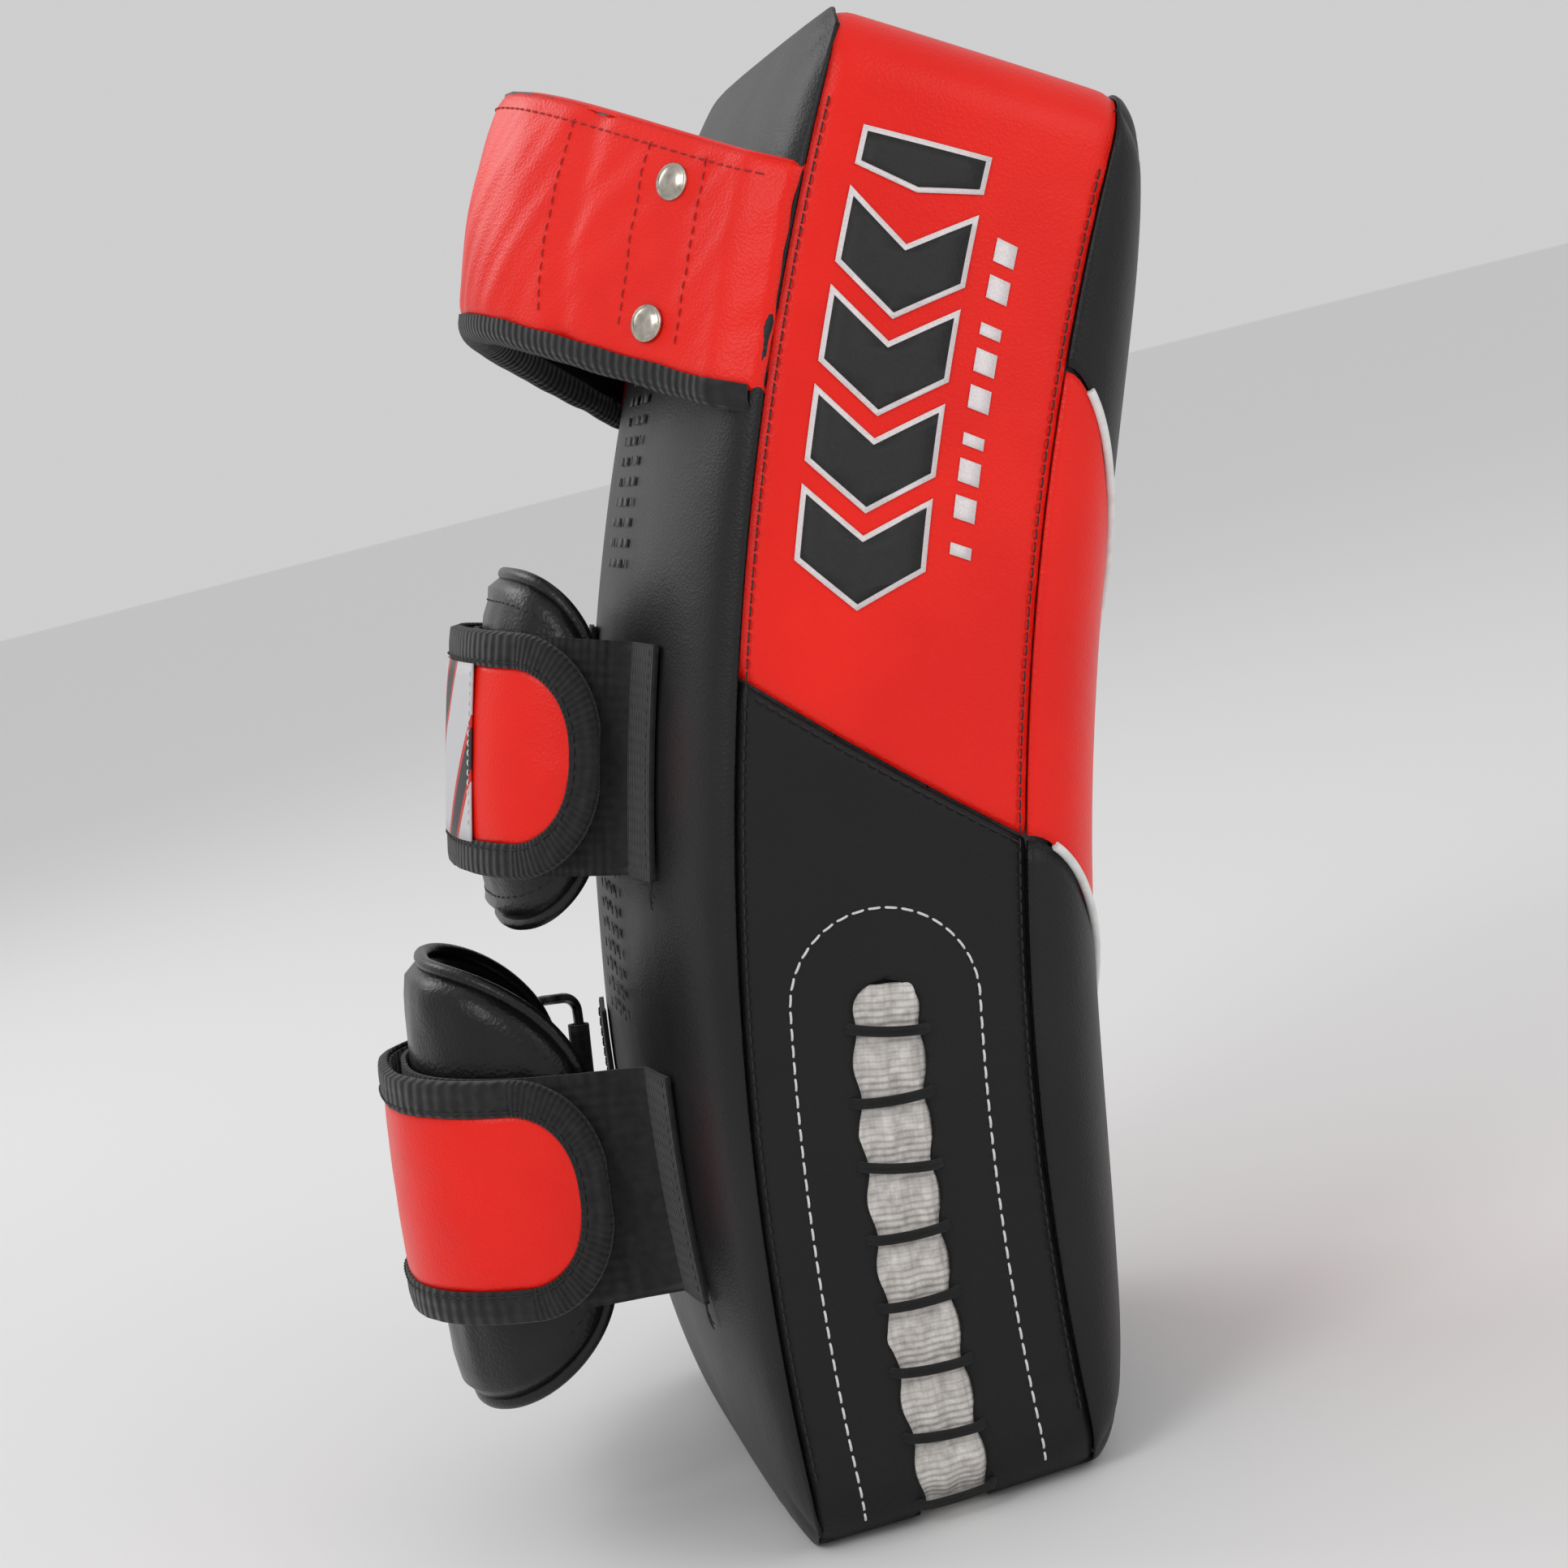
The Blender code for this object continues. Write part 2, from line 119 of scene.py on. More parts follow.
# Stitches: from the start of one to the next, the dash's length, the thread's radius
SEAM_STITCH = (0.0032, 0.0024, 0.00022)
LACE_PANEL_STITCH = (0.0042, 0.0029, 0.00033)
HANDLE_STITCH = (0.0034, 0.0025, 0.00028)
CUFF_STITCH = (0.0036, 0.0026, 0.00026)
PATCH_STITCH = (0.0030, 0.0022, 0.00028)
STRAP_STITCH = (0.0034, 0.0025, 0.00026)
LABEL_STITCH = (0.0026, 0.0018, 0.00022)


# Camera and light


def make_camera():
    """The camera looks at the laced side, a little from behind, and leans with the pad's bend."""
    place = Vector((-0.8938, 0.1208, 0.2895))
    yaw, pitch, roll = math.radians(-8.72), math.radians(-6.88), math.radians(-14.29)
    ahead = Vector((math.cos(pitch) * math.cos(yaw), math.cos(pitch) * math.sin(yaw), math.sin(pitch)))
    level = Vector((math.sin(yaw), -math.cos(yaw), 0))
    up = level.cross(ahead)
    right = level * math.cos(roll) + up * math.sin(roll)
    top = up * math.cos(roll) - level * math.sin(roll)
    lens = bpy.data.cameras.new("camera")
    lens.sensor_width = 36
    lens.lens = 75.75
    lens.clip_start = 0.01
    camera = bpy.data.objects.new("camera", lens)
    camera.matrix_world = Matrix((right, top, -ahead)).transposed().to_4x4()
    camera.location = place
    bpy.context.scene.collection.objects.link(camera)
    bpy.context.scene.camera = camera


def make_light(name, place, size, power):
    lamp = bpy.data.lights.new(name, "AREA")
    lamp.energy = power
    lamp.size = size
    light = bpy.data.objects.new(name, lamp)
    light.location = place
    light.rotation_euler = (Vector((0, 0, 0.19)) - Vector(place)).to_track_quat("-Z", "Y").to_euler()
    bpy.context.scene.collection.objects.link(light)


def make_studio():
    world = bpy.data.worlds.new("studio")
    world.use_nodes = True
    world.node_tree.nodes["Background"].inputs["Color"].default_value = (1, 1, 1, 1)
    world.node_tree.nodes["Background"].inputs["Strength"].default_value = 0.62
    bpy.context.scene.world = world
    bpy.context.scene.view_settings.view_transform = "Standard"
    make_light("key", (-1.1, 1.0, 1.3), 0.7, 7)
    make_light("fill", (-1.4, -1.1, 0.9), 1.0, 5)
    make_light("back", (1.2, 0.9, 1.4), 0.9, 7)
    bpy.ops.mesh.primitive_circle_add(vertices=64, radius=14, fill_type="NGON", location=(0, 0, 0))
    floor = bpy.context.object
    floor.name = "floor"
    floor.data.materials.append(plain_floor())


def plain_floor():
    material, nodes, links, shader = new_material("floor", (0.86, 0.86, 0.86, 1), 0.9)
    grain = nodes.new("ShaderNodeTexNoise")
    grain.inputs["Scale"].default_value = 40
    add_bump(nodes, links, shader, grain.outputs["Fac"], 0.02, 0.001)
    return material


# Materials


def new_material(name, colour, roughness, metallic=0.0):
    material = bpy.data.materials.new(name)
    material.use_nodes = True
    nodes = material.node_tree.nodes
    shader = nodes["Principled BSDF"]
    shader.inputs["Base Color"].default_value = colour
    shader.inputs["Roughness"].default_value = roughness
    shader.inputs["Metallic"].default_value = metallic
    return material, nodes, material.node_tree.links, shader


def add_bump(nodes, links, shader, height, strength, distance, before=None):
    bump = nodes.new("ShaderNodeBump")
    bump.inputs["Strength"].default_value = strength
    bump.inputs["Distance"].default_value = distance
    links.new(height, bump.inputs["Height"])
    if before:
        links.new(before.outputs["Normal"], bump.inputs["Normal"])
    links.new(bump.outputs["Normal"], shader.inputs["Normal"])
    return bump


def spread(nodes, links, value, low, high):
    """The value, from 0 to 1, spread between two others."""
    ranger = nodes.new("ShaderNodeMapRange")
    ranger.inputs["To Min"].default_value = low
    ranger.inputs["To Max"].default_value = high
    links.new(value, ranger.inputs["Value"])
    return ranger.outputs["Result"]


def mottle(nodes, links, shader, coordinates, scale, dark, light):
    """Base colour that drifts between two near tones, as dyed leather or cloth does."""
    cloud = nodes.new("ShaderNodeTexNoise")
    cloud.inputs["Scale"].default_value = scale
    cloud.inputs["Detail"].default_value = 6
    links.new(coordinates, cloud.inputs["Vector"])
    ramp = nodes.new("ShaderNodeValToRGB")
    ramp.color_ramp.elements[0].position = 0.3
    ramp.color_ramp.elements[0].color = dark
    ramp.color_ramp.elements[1].position = 0.75
    ramp.color_ramp.elements[1].color = light
    links.new(cloud.outputs["Fac"], ramp.inputs["Fac"])
    links.new(ramp.outputs["Color"], shader.inputs["Base Color"])
    return cloud


def leather(name, dark, light, gloss, grain=1300, depth=0.35):
    """Coated leather: pebbled grain, slow creases under it, and shine that varies."""
    material, nodes, links, shader = new_material(name, light, gloss[0])
    shader.inputs["Specular IOR Level"].default_value = 0.3
    shader.inputs["Coat Weight"].default_value = 0.05
    shader.inputs["Coat Roughness"].default_value = 0.3
    place = nodes.new("ShaderNodeTexCoord").outputs["Object"]
    cloud = mottle(nodes, links, shader, place, 22, dark, light)
    links.new(spread(nodes, links, cloud.outputs["Fac"], gloss[0], gloss[1]), shader.inputs["Roughness"])
    crease = nodes.new("ShaderNodeTexNoise")
    crease.inputs["Scale"].default_value = 60
    crease.inputs["Detail"].default_value = 5
    links.new(place, crease.inputs["Vector"])
    slow = add_bump(nodes, links, shader, crease.outputs["Fac"], 0.16, 0.002)
    pebble = nodes.new("ShaderNodeTexVoronoi")
    pebble.inputs["Scale"].default_value = grain
    links.new(place, pebble.inputs["Vector"])
    add_bump(nodes, links, shader, pebble.outputs["Distance"], depth, 0.0003, slow)
    return material


def webbing(name, dark, light, ribs, roughness=0.85):
    """Woven tape: ribs across it from its own running coordinates in metres, with a twill between them."""
    material, nodes, links, shader = new_material(name, light, roughness)
    shader.inputs["Sheen Weight"].default_value = 0.15
    coordinates = nodes.new("ShaderNodeTexCoord")
    mottle(nodes, links, shader, coordinates.outputs["Object"], 350, dark, light)
    rib = nodes.new("ShaderNodeTexWave")
    rib.inputs["Scale"].default_value = ribs
    rib.inputs["Distortion"].default_value = 0.4
    links.new(coordinates.outputs["UV"], rib.inputs["Vector"])
    first = add_bump(nodes, links, shader, rib.outputs["Fac"], 0.7, 0.0006)
    cross = nodes.new("ShaderNodeTexWave")
    cross.bands_direction = "Y"
    cross.inputs["Scale"].default_value = ribs * 1.1
    cross.inputs["Distortion"].default_value = 0.6
    links.new(coordinates.outputs["UV"], cross.inputs["Vector"])
    add_bump(nodes, links, shader, cross.outputs["Fac"], 0.55, 0.0005, first)
    return material


def fine_grain(name, dark, light, roughness, scale, depth, metallic=0.0):
    material, nodes, links, shader = new_material(name, light, roughness, metallic)
    place = nodes.new("ShaderNodeTexCoord").outputs["Object"]
    cloud = mottle(nodes, links, shader, place, scale, dark, light)
    links.new(spread(nodes, links, cloud.outputs["Fac"], roughness * 0.7, min(1, roughness * 1.3)),
              shader.inputs["Roughness"])
    add_bump(nodes, links, shader, cloud.outputs["Fac"], depth, 0.0004)
    return material


def label_cloth():
    """Pale satin label with plain slanted stripes."""
    material, nodes, links, shader = new_material("label_cloth", (0.6, 0.6, 0.62, 1), 0.5)
    coordinates = nodes.new("ShaderNodeTexCoord")
    stripe = nodes.new("ShaderNodeTexWave")
    stripe.bands_direction = "DIAGONAL"
    stripe.inputs["Scale"].default_value = 14
    links.new(coordinates.outputs["UV"], stripe.inputs["Vector"])
    ramp = nodes.new("ShaderNodeValToRGB")
    ramp.color_ramp.interpolation = "CONSTANT"
    ramp.color_ramp.elements[0].color = (0.60, 0.60, 0.62, 1)
    ramp.color_ramp.elements[1].position = 0.72
    ramp.color_ramp.elements[1].color = (0.62, 0.03, 0.02, 1)
    dark = ramp.color_ramp.elements.new(0.88)
    dark.color = (0.03, 0.03, 0.035, 1)
    links.new(stripe.outputs["Fac"], ramp.inputs["Fac"])
    links.new(ramp.outputs["Color"], shader.inputs["Base Color"])
    weave = nodes.new("ShaderNodeTexNoise")
    weave.inputs["Scale"].default_value = 2200
    links.new(coordinates.outputs["Object"], weave.inputs["Vector"])
    add_bump(nodes, links, shader, weave.outputs["Fac"], 0.4, 0.0003)
    return material


RED_LEATHER = leather("red_leather", (0.80, 0.007, 0.002, 1), (0.93, 0.013, 0.003, 1), (0.30, 0.48))
BLACK_LEATHER = leather("black_leather", (0.005, 0.005, 0.006, 1), (0.011, 0.011, 0.012, 1), (0.36, 0.56))
WALL_LEATHER = leather("black_wall_leather", (0.0035, 0.0035, 0.004, 1), (0.007, 0.007, 0.008, 1),
                       (0.50, 0.70))
CUFF_LEATHER = leather("black_cuff_leather", (0.004, 0.004, 0.005, 1), (0.010, 0.010, 0.011, 1),
                       (0.24, 0.42), 900)
TAPE = webbing("black_webbing", (0.004, 0.004, 0.005, 1), (0.016, 0.016, 0.018, 1), 105)
LACE_TAPE = webbing("black_lace", (0.003, 0.003, 0.004, 1), (0.010, 0.010, 0.011, 1), 260)
PALE_CLOTH = webbing("off_white_cloth", (0.46, 0.43, 0.40, 1), (0.80, 0.77, 0.74, 1), 150, 0.9)
WHITE_VINYL = fine_grain("white_vinyl", (0.70, 0.70, 0.69, 1), (0.86, 0.86, 0.85, 1), 0.42, 300, 0.1)
WHITE_PRINT = fine_grain("white_print", (0.74, 0.66, 0.66, 1), (0.90, 0.84, 0.85, 1), 0.55, 1800, 0.3)
BLACK_PRINT = fine_grain("black_print", (0.006, 0.006, 0.007, 1), (0.020, 0.020, 0.022, 1), 0.62, 1800, 0.35)
GREY_PRINT = fine_grain("grey_print", (0.045, 0.047, 0.052, 1), (0.10, 0.105, 0.115, 1), 0.6, 1500, 0.3)
WHITE_THREAD = fine_grain("white_thread", (0.60, 0.59, 0.58, 1), (0.88, 0.87, 0.86, 1), 0.7, 2500, 0.6)
BLACK_THREAD = fine_grain("black_thread", (0.006, 0.006, 0.006, 1), (0.025, 0.025, 0.027, 1), 0.7, 2500, 0.6)
RED_THREAD = fine_grain("red_thread", (0.30, 0.004, 0.002, 1), (0.50, 0.010, 0.004, 1), 0.6, 2500, 0.6)
NICKEL = fine_grain("nickel", (0.36, 0.33, 0.28, 1), (0.66, 0.61, 0.54, 1), 0.26, 420, 0.12, 1.0)
STEEL = fine_grain("dark_steel", (0.05, 0.05, 0.055, 1), (0.34, 0.34, 0.36, 1), 0.30, 260, 0.1, 1.0)
HOOKS = fine_grain("black_hooks", (0.004, 0.004, 0.004, 1), (0.03, 0.03, 0.03, 1), 0.95, 1600, 1.0)
FOAM = fine_grain("foam", (0.10, 0.11, 0.12, 1), (0.20, 0.21, 0.23, 1), 0.95, 900, 0.8)
LABEL = label_cloth()


# Shapes


def world_place(x, along, height):
    angle = along / CURVE_RADIUS
    radius = CURVE_RADIUS + height
    return Vector((x, radius * math.cos(angle) - CURVE_RADIUS, radius * math.sin(angle)))


def sheet(name, columns, rows, place, finish, body, size, thick=0.0, keep=None, replaced=()):
    """A grid from -1 to 1 each way, moved by place(a, b), with its size in metres as running coordinates."""
    shape = bmesh.new()
    bmesh.ops.create_grid(shape, x_segments=columns, y_segments=rows, size=1)
    if keep:
        dropped = [face for face in shape.faces if not keep(*face.calc_center_median()[:2])]
        bmesh.ops.delete(shape, geom=dropped, context="FACES")
    layer = shape.loops.layers.uv.new("UVMap")
    for face in shape.faces:
        for corner in face.loops:
            corner[layer].uv = (corner.vert.co.x * size[0] / 2, corner.vert.co.y * size[1] / 2)
    for point in shape.verts:
        point.co = place(point.co.x, point.co.y)
    bmesh.ops.remove_doubles(shape, verts=shape.verts, dist=0.00002)
    return add_piece(name, shape, finish, body, thick, replaced)


def add_piece(name, shape, finish, body, thick=0.0, replaced=()):
    mesh = bpy.data.meshes.new(name)
    shape.to_mesh(mesh)
    shape.free()
    mesh.materials.append(finish)
    mesh.shade_smooth()
    piece = bpy.data.objects.new(name, mesh)
    bpy.context.scene.collection.objects.link(piece)
    if thick:
        wall = piece.modifiers.new("thickness", "SOLIDIFY")
        wall.thickness = abs(thick)
        wall.offset = 1 if thick > 0 else -1
        wall.use_even_offset = False
    if replaced:
        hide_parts(*replaced)
    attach(piece, body)
    return piece


def tube(name, runs, radius, finish, body, closed=False, replaced=(), rounded_section=2):
    """Round thread or wire along one or more runs of points."""
    wire = bpy.data.curves.new(name, "CURVE")
    wire.dimensions = "3D"
    wire.bevel_depth = radius
    wire.bevel_resolution = rounded_section
    wire.use_fill_caps = not closed
    for run in runs:
        spline = wire.splines.new("POLY")
        spline.points.add(len(run) - 1)
        for point, place in zip(spline.points, run):
            point.co = (*place, 1)
        spline.use_cyclic_u = closed
        spline.use_smooth = True
    wire.materials.append(finish)
    piece = bpy.data.objects.new(name, wire)
    bpy.context.scene.collection.objects.link(piece)
    if replaced:
        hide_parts(*replaced)
    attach(piece, body)
    return piece


def stitches(name, at, pitch, dash, radius, finish, body="root"):
    """Sewn dashes along at(t, lift), for t from 0 to 1, each dipping into the surface at its ends."""
    count = 300
    places = [at(step / count, 0) for step in range(count + 1)]
    gone = [0]
    for before, after in zip(places, places[1:]):
        gone.append(gone[-1] + (after - before).length)

    def share(distance):
        for step in range(count):
            if gone[step + 1] >= distance:
                return (step + (distance - gone[step]) / max(gone[step + 1] - gone[step], 1e-9)) / count
        return 1.0

    runs = []
    for number in range(int(gone[-1] / pitch)):
        start = number * pitch
        ends = (share(start), share(start + dash))
        quarter = (ends[1] - ends[0]) / 4
        lifts = (-0.0004, radius * 0.55, radius * 0.75, radius * 0.55, -0.0004)
        runs.append([at(ends[0] + quarter * step, lift) for step, lift in enumerate(lifts)])
    return tube(name, runs, radius, finish, body, rounded_section=1)


def eased(value):
    return math.sin(value * math.pi / 2)


def fullness(across, length, edges):
    width = max(0, 1 - abs(across) ** edges[0])
    run = max(0, 1 - abs(length) ** edges[1])
    return math.sqrt(width * run)


def rounded(x, along):
    middle = LENGTH / 2
    straight = HALF_WIDTH - CORNER_RADIUS
    run = middle - CORNER_RADIUS
    across = abs(x) - straight
    beyond = abs(along - middle) - run
    if across <= 0 or beyond <= 0:
        return x, along
    pull = max(across, beyond) / math.hypot(across, beyond)
    turned = middle + math.copysign(run + beyond * pull, along - middle)
    return math.copysign(straight + across * pull, x), turned


def pucker(distance, run, seed=0.0):
    """Dip into a seam this far off, with small puckers from the thread's pull."""
    wave = noise.noise(Vector((run * 160, seed, 0))) * math.exp(-distance / 0.008)
    return SEAM_DIP * math.exp(-((distance / SEAM_REACH) ** 2)) + PUCKER * (wave + 0.2)


def crown(x, along, depth, edges):
    return depth * fullness(x / HALF_WIDTH, 2 * along / LENGTH - 1, edges)


def slack(x, along, seed):
    """Slow unevenness of the foam under the cover."""
    return 0.0005 * noise.noise(Vector((x * 18, along * 18, seed)))


def face_height(x, along):
    return -HALF_WALL - crown(x, along, FACE_CROWN, FACE_EDGE)


def back_height(x, along):
    return HALF_WALL + crown(x, along, BACK_CROWN, BACK_EDGE)


def chevron(line, x):
    start, dip, power = line
    return start - dip * (1 - (x / HALF_WIDTH) ** 2) ** power


def outline(distance, end):
    straight = HALF_WIDTH - CORNER_RADIUS
    arc = CORNER_RADIUS * math.pi / 2
    side = math.copysign(1, distance)
    gone = abs(distance)
    turn = min(max((gone - straight) / CORNER_RADIUS, 0), math.pi / 2)
    x = min(gone, straight) + CORNER_RADIUS * math.sin(turn)
    depth = CORNER_RADIUS * (1 - math.cos(turn)) + max(gone - straight - arc, 0)
    along = LENGTH - depth if end > 0 else depth
    return side * x, along, side * math.sin(turn), end * math.cos(turn)


def round_from_end(depth):
    return HALF_WIDTH - CORNER_RADIUS + CORNER_RADIUS * math.pi / 2 + depth - CORNER_RADIUS


def wall_point(distance, end, height, inward=0.0):
    x, along, out_x, out_along = outline(distance, end)
    inward -= WALL_BULGE * (1 - (height / HALF_WALL) ** 2) * out_x**2
    return world_place(x - out_x * inward, along - out_along * inward, height)


def near_wall(along, height, lift=0.0):
    """Point on the laced side wall."""
    return wall_point(-round_from_end(along), -1, height, -lift)


def join_at(height):
    share = (height + HALF_WALL) / (2 * HALF_WALL)
    return JOIN_FACE + (JOIN_BACK - JOIN_FACE) * share


# Pad covers


def make_face():
    black_low = ("face_cover_lower", lambda x: 0, lambda x: chevron(CHEVRON_LOW, x) - SEAM_ROOM,
                 BLACK_LEATHER, 44,
                 lambda share: 1 - math.cos(share * math.pi / 2))
    band = ("face_chevron", lambda x: chevron(CHEVRON_LOW, x) + SEAM_ROOM,
            lambda x: chevron(CHEVRON_TOP, x) - SEAM_ROOM,
            RED_LEATHER, 40, lambda share: share)
    black_top = ("face_cover_upper", lambda x: chevron(CHEVRON_TOP, x) + SEAM_ROOM, lambda x: LENGTH,
                 BLACK_LEATHER, 44,
                 lambda share: math.sin(share * math.pi / 2))
    for name, low, high, finish, rows, ease in (black_low, band, black_top):

        def place(a, b):
            x = HALF_WIDTH * eased(a)
            along = low(x) + (high(x) - low(x)) * ease((b + 1) / 2)
            to_end = min(along, LENGTH - along, HALF_WIDTH - abs(x))
            to_line = min(abs(along - chevron(CHEVRON_LOW, x)), abs(along - chevron(CHEVRON_TOP, x)))
            dip = pucker(max(to_end, 0), along + x, 1) * min(1, to_end / 0.004)
            dip += pucker(to_line, x, 2) * min(1, to_end / 0.01)
            height = face_height(x, along) + dip + slack(x, along, 3) * min(1, to_end / 0.02)
            return world_place(*rounded(x, along), height)

        piece = sheet(f"{name}_leather", 64, rows, place, finish, "root", (0.2, 0.15), -LEATHER,
                      replaced=(name,))
    for name, line in (("face_piping_lower", CHEVRON_LOW), ("face_piping_upper", CHEVRON_TOP)):
        run = []
        for step in range(121):
            x = HALF_WIDTH * 0.985 * eased(step / 60 - 1)
            along = chevron(line, x)
            run.append(world_place(*rounded(x, along), face_height(x, along) - 0.0001))
        tube(f"{name}_cord", [run], PIPING_RADIUS, WHITE_VINYL, "root", replaced=(name,), rounded_section=3)


def make_back():
    def place(a, b):
        x = HALF_WIDTH * eased(a)
        along = LENGTH / 2 * (1 + eased(b))
        to_end = min(along, LENGTH - along, HALF_WIDTH - abs(x))
        dip = pucker(max(to_end, 0), along + x, 5) * min(1, to_end / 0.004)
        height = back_height(x, along) - dip - slack(x, along, 7) * min(1, to_end / 0.02)
        return world_place(*rounded(x, along), height)

    piece = sheet("back_cover_leather", 64, 100, place, BLACK_LEATHER, "root", (0.2, 0.37), LEATHER,
                  replaced=("back_cover",))


def slot_half(along, under):
    """Half the laced opening's width here: arched at both ends and drawn in a little by each lace."""
    to_tip = SLOT_TOP - along if along > 0 else SLOT_UNDER - under
    if to_tip <= 0:
        return 0
    near_tip = min(to_tip, SLOT_ARCH) / SLOT_ARCH
    drawn = 1 - 0.09 * math.cos(2 * math.pi * (along - LACE_FIRST) / LACE_STEP)
    return SLOT_HALF * math.sqrt(1 - (1 - near_tip) ** 2) * drawn


def make_walls():
    tall = HALF_WALL - 0.0004

    def seam_dip(height, along):
        return pucker(max(tall - abs(height), 0), along, 11)

    def red(a, b):
        height = tall * eased(b)
        reach = round_from_end(LENGTH - join_at(height) - 0.0004)
        off_join = (1 - abs(a)) * reach
        inward = seam_dip(height, a * reach) + pucker(off_join, height, 13)
        return wall_point(a * reach, 1, height, inward)

    sheet("wall_red_leather", 300, 30, red, RED_LEATHER, "root", (0.5, 0.074), -LEATHER,
                    replaced=("wall_red",))

    def black(a, b):
        edge_share = abs(b) * 9 / 7 - 2 / 7
        middle_reach = round_from_end(join_at(SLOT_MIDDLE))
        distance = a * middle_reach
        _, along, _, _ = outline(distance, -1)
        half = 0
        if distance < 0:
            on_wall = along > CORNER_RADIUS
            half = slot_half(along if on_wall or along > 0.0001 else 0, HALF_WIDTH - abs(distance))
        edge = SLOT_MIDDLE + math.copysign(half, b)
        far = math.copysign(tall, b)
        height = edge + (far - edge) * max(edge_share, 0)
        reach = round_from_end(join_at(height) - 0.0004)
        if abs(a) > 0.84:
            share = (abs(a) - 0.84) / 0.16
            distance = math.copysign(0.84 * middle_reach * (1 - share) + reach * share, a)
        inward = seam_dip(height, distance) + pucker((1 - abs(a)) * reach, height, 17)
        if half:
            inward += 0.0008 * math.exp(-abs(height - edge) / 0.0015)
        if along < 0.002:
            inward = 0
        return wall_point(distance, -1, height, inward)

    sheet("wall_black_leather", 460, 36, black, WALL_LEATHER, "root", (0.5, 0.074), LEATHER,
                    keep=lambda a, b: abs(b) > 2 / 9, replaced=("wall_black",))

    far = round_from_end(SLOT_TOP)
    near = HALF_WIDTH - SLOT_UNDER

    def cloth(a, b):
        distance = near + 0.002 + (far - near - 0.003) * (a + 1) / 2
        _, along, out_x, _ = outline(-distance, -1)
        wave = noise.noise(Vector((distance * 130, b * 2.2, 4)))
        fold = math.sin(b * 7.5 + 1.6 * noise.noise(Vector((distance * 40, 0, 8))))
        between = 0.5 - 0.5 * math.cos(2 * math.pi * (along - LACE_FIRST) / LACE_STEP)
        lift = 0.0006 * fold + 0.0005 * wave + 0.0011 * between * (1 - b * b)
        inward = 0.0016 - lift * out_x**2
        if along < 0.006:
            inward = 0.0016
        return wall_point(-distance, -1, SLOT_MIDDLE + (SLOT_HALF + 0.0012) * b, inward)

    sheet("lace_gusset_pleats", 200, 24, cloth, PALE_CLOTH, "root", (0.2, 0.019), -0.0006,
                    replaced=("lace_gusset_cloth",))


def make_laces():
    for number in range(LACE_COUNT):
        along = LACE_FIRST - number * LACE_STEP
        random.seed(number)
        slant = random.uniform(-0.0008, 0.0012)
        wide = SLOT_HALF + 0.0022
        runs = []
        for side in (-0.0005, 0.0005):
            run = []
            for step in range(13):
                share = step / 6 - 1
                lift = 0.0011 - 0.0026 * max(0, abs(share) - 0.82) / 0.18
                height = SLOT_MIDDLE + wide * share
                bow = 0.0008 * (1 - share * share)
                run.append(near_wall(max(along + side + slant * share - bow, 0.004), height, lift))
            runs.append(run)
        tube(f"lace_crossing_{number + 1}", runs, LACE_RADIUS, LACE_TAPE, "root",
             replaced=(f"lace_{number + 1}",))


def make_wall_stitches():
    inset = HALF_WALL - 0.0021

    def side_seam(height, sign):
        def at(share, lift):
            along = 0.020 + (LENGTH - 0.040) * share
            return wall_point(sign * round_from_end(along), -1, height, -lift)

        return at

    for name, height in (("back", inset), ("face", -inset)):
        for side, sign in (("near", -1), ("far", 1)):
            stitches(f"seam_stitches_{name}_{side}", side_seam(height, sign), *SEAM_STITCH, BLACK_THREAD)

    def join(share, lift):
        height = -inset + 2 * inset * share
        return near_wall(join_at(height) - 0.0022, height, lift)

    stitches("seam_stitches_join", join, *SEAM_STITCH, BLACK_THREAD)
    half = LACE_PANEL_HALF
    top = LACE_PANEL_TOP

    def u_line(share, lift):
        """Up one leg, over the round top and down the other."""
        leg = top - half - 0.006
        arc = math.pi * half
        gone = share * (2 * leg + arc)
        if gone < leg:
            return near_wall(0.006 + gone, SLOT_MIDDLE + half, lift)
        if gone < leg + arc:
            turn = (gone - leg) / half
            return near_wall(top - half + half * math.sin(turn), SLOT_MIDDLE + half * math.cos(turn), lift)
        return near_wall(top - half - (gone - leg - arc), SLOT_MIDDLE - half, lift)

    stitches("lace_panel_stitches", u_line, *LACE_PANEL_STITCH, WHITE_THREAD)


# Printed marks


def grown(points, amount):
    """The outline moved out by this much, corner by corner."""
    result = []
    count = len(points)
    for number in range(count):
        before, here, after = (Vector(points[(number + step) % count]) for step in (-1, 0, 1))
        first = (here - before).normalized()
        second = (after - here).normalized()
        out = Vector((first.y, -first.x)) + Vector((second.y, -second.x))
        scale = amount / max(0.35, out.length_squared / 2)
        result.append(tuple(here + out * scale))
    return result


